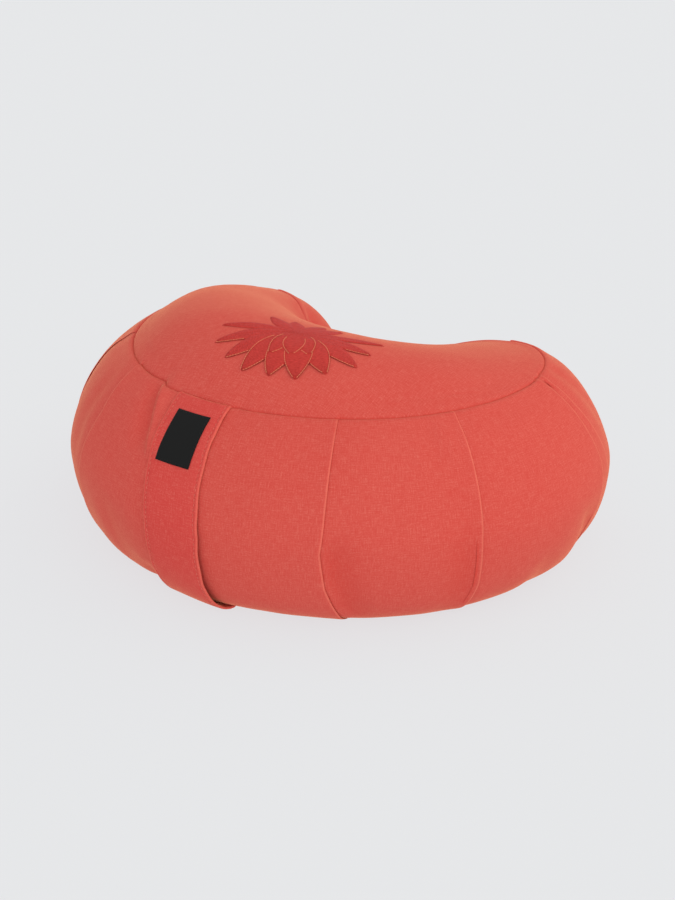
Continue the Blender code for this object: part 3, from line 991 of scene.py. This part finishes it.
def label_places(crescent, tree, across, down_run, lift):
    """Places on the strap for a grid of label coordinates, both from 0 to 1."""
    label = settings("label")
    downs = label.top + (label.foot - label.top) * down_run
    sideways = label.shift + label.width * (across - 0.5) - strap_middle(downs)
    place, along, out = strap_frame(crescent, sideways, downs)
    lying = heights_over(tree, place, out)
    lying = smoothed(np.maximum(lying, smoothed(lying, 4)), 6)
    return place + out * (lying + lift)[..., None], out


def build_label():
    """A blank woven label, sewn flat on the strap."""
    crescent = Crescent()
    label = settings("label")
    tree = surface_of("strap")
    across, run = np.meshgrid(np.linspace(0.0, 1.0, 29), np.linspace(0.0, 1.0, 37))
    side, end = np.minimum(across, 1.0 - across), np.minimum(run, 1.0 - run)
    edge = np.minimum(side * label.width, end * label.height)
    lift = 0.15 * MM + label.thickness * (0.55 + 0.45 * np.sqrt(np.clip(edge / (0.9 * MM), 0.0, 1.0)))
    places, outs = label_places(crescent, tree, across, run, lift)
    uvs = np.stack([across * label.width, run * label.height], axis=-1)
    mesh = wrapped_grid(places, uvs)
    bmesh.ops.recalc_face_normals(mesh, faces=mesh.faces)
    if sum(face.normal.y for face in mesh.faces) > 0:
        bmesh.ops.reverse_faces(mesh, faces=mesh.faces)
    bmesh.ops.solidify(mesh, geom=mesh.faces, thickness=label.thickness * 0.9)
    bmesh.ops.recalc_face_normals(mesh, faces=mesh.faces)
    piece = new_object("label", mesh, label_material())
    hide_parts("woven_label")
    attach(piece, "root")


def build_label_stitches():
    """Black stitches round the label, a little inside its edge."""
    crescent = Crescent()
    tree = surface_of("strap")
    mesh = bmesh.new()
    turn = np.linspace(0.0, 1.0, 60)
    inset = 0.045
    low, high = np.full_like(turn, inset), np.full_like(turn, 1.0 - inset)
    inner = inset + (1.0 - 2.0 * inset) * turn
    on_label = surface_of("label")
    for x, y in ((inner, low), (inner, high), (low, inner), (high, inner)):
        line, out = label_places(crescent, tree, x[None], y[None], np.zeros((1, len(turn))))
        line = line + out * heights_over(on_label, line, out)[..., None]
        stitch_line(mesh, line[0], out[0], *(size * MM for size in LABEL_STITCH))
    piece = new_object("label_stitches", mesh, thread_material("black thread", settings("colours").label))
    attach(piece, "root")


# The flower, as a maker would chart it: rows of pointed petals about one heart.
# lean: the petal's bearing in degrees from the flower's own axis. reach, width: shares of its size.
# curl: how far its tip bends aside. tier: which row it lies in, the highest on top.
PETALS = (
    {"lean": -158, "reach": 0.46, "width": 0.22, "curl": -0.08, "tier": 0},
    {"lean": 150, "reach": 0.52, "width": 0.22, "curl": 0.06, "tier": 0},
    {"lean": -131, "reach": 0.64, "width": 0.20, "curl": -0.10, "tier": 1},
    {"lean": 126, "reach": 0.60, "width": 0.20, "curl": 0.10, "tier": 1},
    {"lean": -106, "reach": 0.98, "width": 0.16, "curl": 0.12, "tier": 2},
    {"lean": 103, "reach": 1.00, "width": 0.16, "curl": -0.10, "tier": 2},
    {"lean": -87, "reach": 0.98, "width": 0.21, "curl": 0.14, "tier": 3},
    {"lean": 84, "reach": 0.92, "width": 0.21, "curl": -0.14, "tier": 3},
    {"lean": -66, "reach": 0.90, "width": 0.26, "curl": 0.12, "tier": 4},
    {"lean": 63, "reach": 0.94, "width": 0.25, "curl": -0.12, "tier": 4},
    {"lean": -43, "reach": 0.86, "width": 0.30, "curl": 0.10, "tier": 5},
    {"lean": 40, "reach": 0.84, "width": 0.30, "curl": -0.12, "tier": 5},
    {"lean": -18, "reach": 0.80, "width": 0.32, "curl": 0.08, "tier": 6},
    {"lean": 15, "reach": 0.82, "width": 0.33, "curl": -0.10, "tier": 7},
    {"lean": -36, "reach": 0.52, "width": 0.23, "curl": 0.14, "tier": 8},
    {"lean": 34, "reach": 0.50, "width": 0.23, "curl": -0.14, "tier": 8},
    {"lean": -2, "reach": 0.48, "width": 0.26, "curl": 0.05, "tier": 9},
)
LOWEST_OUTLINED = 3  # petals of this tier and higher have an outline on one side
FULLY_OUTLINED = 5  # petals of this tier and higher have it on both sides


def petal_places(petal, along, across):
    """Plan places on a petal: along it from 0 to 1, and across it from -1 to 1."""
    flower = settings("flower")
    reach = petal["reach"] * flower.size
    girth = np.sin(math.pi * np.clip(along, 0.0, 1.0) ** 1.1) ** 0.8
    half = petal["width"] * flower.size / 2 * girth
    start = -0.02 * flower.size
    out = start + (reach - start) * along
    bend = petal["curl"] * reach * along**2
    x = bend + across * half
    lean = math.radians(petal["lean"]) - math.pi / 2 + flower.turn
    forward = (math.cos(lean), math.sin(lean))
    aside = (-math.sin(lean), math.cos(lean))
    return np.stack([flower.heart[i] + forward[i] * out + aside[i] * x for i in range(2)], axis=-1)


def petal_rim(petal):
    """A petal's closed edge in plan."""
    run = np.linspace(0.0, 1.0, 30)
    left = petal_places(petal, run, np.full_like(run, -1.0))
    right = petal_places(petal, run[::-1], np.full_like(run, 1.0))
    return np.concatenate([left, right])


def inside(plan, rim):
    """Which plan places lie inside a closed rim."""
    within = np.zeros(len(plan), dtype=bool)
    for start, end in zip(rim, np.roll(rim, -1, axis=0)):
        between = (start[1] > plan[:, 1]) != (end[1] > plan[:, 1])
        slope = (end[0] - start[0]) / (end[1] - start[1]) if end[1] != start[1] else 0.0
        within ^= between & (plan[:, 0] < start[0] + slope * (plan[:, 1] - start[1]))
    return within


def shown_edge(petal, side):
    """The part of a petal's edge, towards its tip, that no petal of a higher tier lies over."""
    run = np.linspace(0.30, 0.99, 60)
    edge = petal_places(petal, run, np.full_like(run, side * 0.97))
    covered = np.zeros(len(edge), dtype=bool)
    for other in PETALS:
        if other["tier"] > petal["tier"]:
            covered |= inside(edge, petal_rim(other))
    hidden = np.flatnonzero(covered)
    return edge[hidden[-1] + 1:] if len(hidden) else edge


def on_crown(tree, plan, lift):
    """Plan places set on the crown, lifted off it."""
    places = np.zeros((*plan.shape[:-1], 3))
    outs = np.zeros_like(places)
    for spot in np.ndindex(plan.shape[:-1]):
        hit = tree.ray_cast(Vector((*plan[spot], 0.3)), Vector((0.0, 0.0, -1.0)))
        places[spot], outs[spot] = hit[0], hit[1]
    return places + outs * lift[..., None], outs


def build_flower():
    """The flower in satin stitch, with its outlines in a paler thread."""
    flower = settings("flower")
    tree = surface_of("cushion")
    satin, lines = bmesh.new(), bmesh.new()
    for petal in PETALS:
        across, along = np.meshgrid(np.linspace(-1.0, 1.0, 13), np.linspace(0.0, 1.0, 41))
        plan = petal_places(petal, along, across)
        under = petal["tier"] * flower.tier_height
        dome = np.sqrt(np.clip(1.0 - np.abs(across) ** 2.5, 0.0, 1.0))
        fade = soft_step(along / 0.06) * soft_step((1.0 - along) / 0.05)
        lift = (under + flower.relief * (0.35 + 0.65 * dome)) * fade - 0.25 * MM * (1.0 - dome * fade)
        ridge = 0.14 * MM * np.exp(-((across / 0.12) ** 2)) * fade
        places, _ = on_crown(tree, plan, lift - ridge)
        half = petal["width"] * flower.size / 2
        uvs = np.stack([across * half, along * petal["reach"] * flower.size], axis=-1)
        leaf = wrapped_grid(places, uvs)
        bmesh.ops.recalc_face_normals(leaf, faces=leaf.faces)
        if sum(face.normal.z for face in leaf.faces) < 0:
            bmesh.ops.reverse_faces(leaf, faces=leaf.faces)
        data = bpy.data.meshes.new("petal")
        leaf.to_mesh(data)
        leaf.free()
        satin.from_mesh(data)
        bpy.data.meshes.remove(data)
        if petal["tier"] >= LOWEST_OUTLINED:
            front = -math.copysign(1.0, petal["lean"])
            for side in (front, -front) if petal["tier"] >= FULLY_OUTLINED else (front,):
                edge = shown_edge(petal, side)
                if len(edge) < 6:
                    continue
                line, outs = on_crown(tree, edge, np.full(len(edge), under + flower.relief * 0.75))
                stitch_line(lines, line, outs, *(size * MM for size in OUTLINE_STITCH))
    colours = settings("colours")
    piece = new_object("flower_satin_stitch", satin, satin_material("petal thread", colours.petal))
    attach(piece, "root")
    piece = new_object("flower_outline_stitch", lines, thread_material("outline thread", colours.outline))
    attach(piece, "root")


class Nodes:
    """A short way to lay and link a material's nodes."""

    def __init__(self, name):
        self.material = bpy.data.materials.new(name)
        self.material.use_nodes = True
        self.tree = self.material.node_tree
        self.shader = self.tree.nodes["Principled BSDF"]

    def feed(self, socket, value):
        """Links a socket to another, or sets its own value."""
        if isinstance(value, bpy.types.NodeSocket):
            self.tree.links.new(value, socket)
        else:
            socket.default_value = value

    def add(self, kind, inputs=None, **fields):
        node = self.tree.nodes.new(kind)
        for name, value in fields.items():
            setattr(node, name, value)
        for name, value in (inputs or {}).items():
            self.feed(node.inputs[name], value)
        return node

    def maths(self, operation, *values):
        node = self.add("ShaderNodeMath", operation=operation)
        for socket, value in zip(node.inputs, values):
            self.feed(socket, value)
        return node.outputs[0]

    def mix(self, factor, first, second):
        """A mix of two colours, which go in the node's sockets 6 and 7."""
        node = self.add("ShaderNodeMix", data_type="RGBA")
        for index, value in ((0, factor), (6, first), (7, second)):
            self.feed(node.inputs[index], value)
        return node.outputs[2]

    def noise(self, vector, scale, detail=2.0, roughness=0.5):
        inputs = {"Vector": vector, "Scale": scale, "Detail": detail, "Roughness": roughness}
        return self.add("ShaderNodeTexNoise", inputs).outputs["Fac"]

    def ranged(self, value, low, high, to_low=0.0, to_high=1.0):
        inputs = {"Value": value, "From Min": low, "From Max": high, "To Min": to_low, "To Max": to_high}
        return self.add("ShaderNodeMapRange", inputs).outputs[0]

    def bump(self, height, distance, strength):
        inputs = {"Height": height, "Distance": distance, "Strength": strength}
        return self.add("ShaderNodeBump", inputs).outputs[0]

    def set(self, **values):
        """Links or sets the shader's own sockets, named with underscores for spaces."""
        for name, value in values.items():
            self.feed(self.shader.inputs[name.replace("_", " ")], value)


def dimmed(base, part):
    """A colour made darker, or paler where the part is over 1."""
    return tuple(channel * part for channel in base[:3]) + (1.0,)


def woven(nodes, cloth, pitch):
    """A plain weave's height over cloth coordinates in metres, and its threads' unevenness, about 0 to 1."""
    split = nodes.add("ShaderNodeSeparateXYZ", {"Vector": cloth})
    turns = math.pi / pitch
    warp = nodes.maths("SINE", nodes.maths("MULTIPLY", split.outputs[0], turns))
    weft = nodes.maths("SINE", nodes.maths("MULTIPLY", split.outputs[1], turns))
    over = nodes.maths("MULTIPLY", warp, weft)
    warp_height = nodes.maths("MULTIPLY", nodes.maths("ABSOLUTE", warp), nodes.ranged(over, -0.4, 0.4))
    weft_height = nodes.maths("MULTIPLY", nodes.maths("ABSOLUTE", weft), nodes.ranged(over, 0.4, -0.4))
    threads = nodes.maths("ADD", warp_height, weft_height)
    slubs = []
    for stretch in ((1700.0, 150.0, 1.0), (150.0, 1700.0, 1.0)):
        lengthwise = nodes.add("ShaderNodeMapping", {"Vector": cloth, "Scale": stretch}).outputs[0]
        slubs.append(nodes.noise(lengthwise, 1.0, 1.0))
    uneven = nodes.maths("MULTIPLY", nodes.maths("ADD", *slubs), 0.5)
    return nodes.maths("ADD", nodes.maths("MULTIPLY", threads, 0.5), uneven), uneven


def canvas_material(name, base):
    """Matt cotton canvas: woven threads, slubs, fold edges paler as a painted highlight, and seams, hidden
    plies and hollows darker as painted shade.
    """
    colours = settings("colours")
    nodes = Nodes(name)
    cloth = nodes.add("ShaderNodeUVMap", uv_map="Cloth").outputs[0]
    place = nodes.add("ShaderNodeTexCoord").outputs["Object"]
    height, slubs = woven(nodes, cloth, WEAVE_PITCH)
    broad = nodes.ranged(nodes.noise(place, 14.0, 3.0), 0.3, 0.7)
    grain = nodes.noise(cloth, 1100.0, 1.0, 0.7)
    threads = nodes.maths("ADD", nodes.maths("MULTIPLY", slubs, 0.65), nodes.maths("MULTIPLY", grain, 0.35))
    tone = nodes.mix(nodes.ranged(threads, 0.5, 0.64, 0.0, 0.55), base, colours.canvas_pale)
    tone = nodes.mix(nodes.ranged(threads, 0.5, 0.36, 0.0, 0.55), tone, colours.canvas_deep)
    tone = nodes.mix(nodes.maths("MULTIPLY", broad, 0.08), tone, colours.canvas_pale)
    crease = nodes.add("ShaderNodeAttribute", attribute_name="crease").outputs["Fac"]
    edge = nodes.add("ShaderNodeAttribute", attribute_name="fold_edge").outputs["Fac"]
    # painted shade in seams, hidden plies and hollows
    tone = nodes.mix(nodes.maths("MULTIPLY", crease, 0.3), tone, colours.crease)
    # painted highlight along fold edges
    tone = nodes.mix(nodes.maths("MULTIPLY", edge, 0.4), tone, colours.fold_edge)
    normal = nodes.bump(height, 0.08 * MM, 0.8)
    nodes.set(Base_Color=tone, Roughness=nodes.ranged(slubs, 0.3, 0.7, 0.86, 0.94), Normal=normal)
    nodes.set(Sheen_Weight=0.55, Sheen_Roughness=0.30, Sheen_Tint=colours.sheen, Specular_IOR_Level=0.15)
    return nodes.material


def thread_material(name, base):
    """Twisted sewing thread."""
    nodes = Nodes(name)
    place = nodes.add("ShaderNodeTexCoord").outputs["Object"]
    twist = nodes.noise(place, 2500.0, 1.0)
    tone = nodes.mix(nodes.ranged(twist, 0.35, 0.65), dimmed(base, 0.7), base)
    nodes.set(Base_Color=tone, Roughness=0.62, Specular_IOR_Level=0.2)
    nodes.set(Normal=nodes.bump(twist, 0.05 * MM, 0.5))
    return nodes.material


def satin_material(name, base):
    """Satin stitch: close parallel threads that run aslant from a petal's middle to its edges."""
    nodes = Nodes(name)
    cloth = nodes.add("ShaderNodeUVMap", uv_map="Cloth").outputs[0]
    split = nodes.add("ShaderNodeSeparateXYZ", {"Vector": cloth})
    aslant = nodes.maths("MULTIPLY", nodes.maths("ABSOLUTE", split.outputs[0]), 0.9)
    along = nodes.maths("SUBTRACT", split.outputs[1], aslant)
    thread = nodes.maths("SINE", nodes.maths("MULTIPLY", along, 2.0 * math.pi / SATIN_PITCH))
    thread = nodes.ranged(thread, -1.0, 1.0)
    lengthwise = nodes.add("ShaderNodeMapping", {"Vector": cloth, "Scale": (300.0, 1600.0, 1.0)})
    uneven = nodes.noise(lengthwise.outputs[0], 1.0)
    dark = dimmed(base, 0.78)
    light = (min(1.0, base[0] * 1.15), base[1] * 1.6, base[2] * 1.6, 1.0)
    tone = nodes.mix(nodes.ranged(uneven, 0.3, 0.7), dark, light)
    tone = nodes.mix(nodes.maths("MULTIPLY", thread, 0.3), tone, dark)
    nodes.set(Base_Color=tone, Roughness=0.6, Normal=nodes.bump(thread, 0.10 * MM, 0.8))
    nodes.set(Specular_IOR_Level=0.15, Specular_Tint=(1.0, 0.55, 0.42, 1.0))
    return nodes.material


def label_material():
    """Plain black ribbed weave."""
    nodes = Nodes("label weave")
    colours = settings("colours")
    cloth = nodes.add("ShaderNodeUVMap", uv_map="Cloth").outputs[0]
    split = nodes.add("ShaderNodeSeparateXYZ", {"Vector": cloth})
    x, y = split.outputs[0], split.outputs[1]
    rib = nodes.maths("SINE", nodes.maths("MULTIPLY", y, 2.0 * math.pi / (0.45 * MM)))
    cross = nodes.maths("SINE", nodes.maths("MULTIPLY", x, 2.0 * math.pi / (0.30 * MM)))
    height = nodes.ranged(nodes.maths("ADD", rib, nodes.maths("MULTIPLY", cross, 0.4)), -1.4, 1.4)
    tone = nodes.mix(nodes.maths("MULTIPLY", height, 0.6), colours.label, dimmed(colours.label, 1.8))
    nodes.set(Base_Color=tone, Roughness=0.75, Normal=nodes.bump(height, 0.06 * MM, 0.7))
    nodes.set(Specular_IOR_Level=0.12)
    return nodes.material


def build_floor():
    """A plain pale floor under the cushion."""
    stage = settings("stage")
    mesh = bmesh.new()
    bmesh.ops.create_circle(mesh, cap_ends=True, segments=64, radius=14.0)
    nodes = Nodes("pale floor")
    nodes.set(Base_Color=stage.floor, Roughness=0.95, Specular_IOR_Level=0.0)
    nodes.set(Emission_Color=stage.floor_glow, Emission_Strength=1.0)
    floor = new_object("floor", mesh, nodes.material, smooth=False)


def add_sun(name, source, strength, tint):
    """A wide, soft light from one side."""
    data = bpy.data.lights.new(name, "SUN")
    data.energy = strength
    data.angle = LIGHT_WIDTH
    data.color = tint
    sun = bpy.data.objects.new(name, data)
    sun.rotation_euler = Vector(source).to_track_quat("Z", "Y").to_euler()
    bpy.context.scene.collection.objects.link(sun)


def build_light():
    """Even light from all round, with three wide suns."""
    stage = settings("stage")
    scene = bpy.context.scene
    world = bpy.data.worlds.new("studio")
    world.use_nodes = True
    background = world.node_tree.nodes["Background"]
    background.inputs["Color"].default_value = stage.ambient_tint
    background.inputs["Strength"].default_value = stage.ambient
    scene.world = world
    for name, setting, tint in LIGHTS:
        add_sun(name, getattr(stage, setting + "_from"), getattr(stage, setting), tint)
    scene.view_settings.view_transform = "Standard"


def build_camera():
    """The camera, at the photograph's viewing angle."""
    stage = settings("stage")
    data = bpy.data.cameras.new("camera")
    data.lens = stage.focal
    data.sensor_width = 36.0
    camera = bpy.data.objects.new("camera", data)
    flat = math.cos(stage.elevation)
    sideways, forwards = math.sin(stage.azimuth) * flat, math.cos(stage.azimuth) * flat
    back = Vector((sideways, -forwards, math.sin(stage.elevation)))
    camera.location = Vector(stage.target) + back * stage.distance
    camera.rotation_euler = (-back).to_track_quat("-Z", "Y").to_euler()
    bpy.context.scene.collection.objects.link(camera)
    bpy.context.scene.camera = camera


class SewBody(bpy.types.Operator):
    """Sew and fill the crescent body with its knife pleats"""

    bl_idname = "cushion.sew_body"
    bl_label = "Body"

    def execute(self, context):
        build_body()
        return {"FINISHED"}


class SewStrap(bpy.types.Operator):
    """Sew the carry strap over the side and topstitch its edges"""

    bl_idname = "cushion.sew_strap"
    bl_label = "Carry strap"

    def execute(self, context):
        build_strap()
        build_topstitching()
        return {"FINISHED"}


class SewLabel(bpy.types.Operator):
    """Sew the blank woven label on the strap"""

    bl_idname = "cushion.sew_label"
    bl_label = "Label"

    def execute(self, context):
        build_label()
        build_label_stitches()
        return {"FINISHED"}


class EmbroiderFlower(bpy.types.Operator):
    """Embroider the flower on the crown"""

    bl_idname = "cushion.embroider_flower"
    bl_label = "Flower"

    def execute(self, context):
        build_flower()
        return {"FINISHED"}


class SetStage(bpy.types.Operator):
    """Lay the floor, and set the lights and the camera"""

    bl_idname = "cushion.set_stage"
    bl_label = "Stage"

    def execute(self, context):
        build_floor()
        build_light()
        build_camera()
        return {"FINISHED"}


OPERATORS = (SetStage, SewBody, SewStrap, SewLabel, EmbroiderFlower)


class CushionPanel(bpy.types.Panel):
    """Lists the cushion's steps and settings in the sidebar"""

    bl_idname = "VIEW3D_PT_cushion"
    bl_label = "Crescent cushion"
    bl_space_type = "VIEW_3D"
    bl_region_type = "UI"
    bl_category = "Cushion"

    def draw(self, context):
        for operator in OPERATORS:
            self.layout.operator(operator.bl_idname)
        for name, group in GROUPS.items():
            box = self.layout.box()
            box.label(text=group.__doc__)
            for field in group.__annotations__:
                box.prop(getattr(context.scene, name), field)


CLASSES = (*GROUPS.values(), *OPERATORS, CushionPanel)


def register():
    for cls in CLASSES:
        bpy.utils.register_class(cls)
    for name, group in GROUPS.items():
        setattr(bpy.types.Scene, name, bpy.props.PointerProperty(type=group))


def unregister():
    for name in GROUPS:
        delattr(bpy.types.Scene, name)
    for cls in reversed(CLASSES):
        bpy.utils.unregister_class(cls)


def main():
    register()
    for operator in OPERATORS:
        group, name = operator.bl_idname.split(".")
        getattr(getattr(bpy.ops, group), name)()


if __name__ == "__main__":
    main()
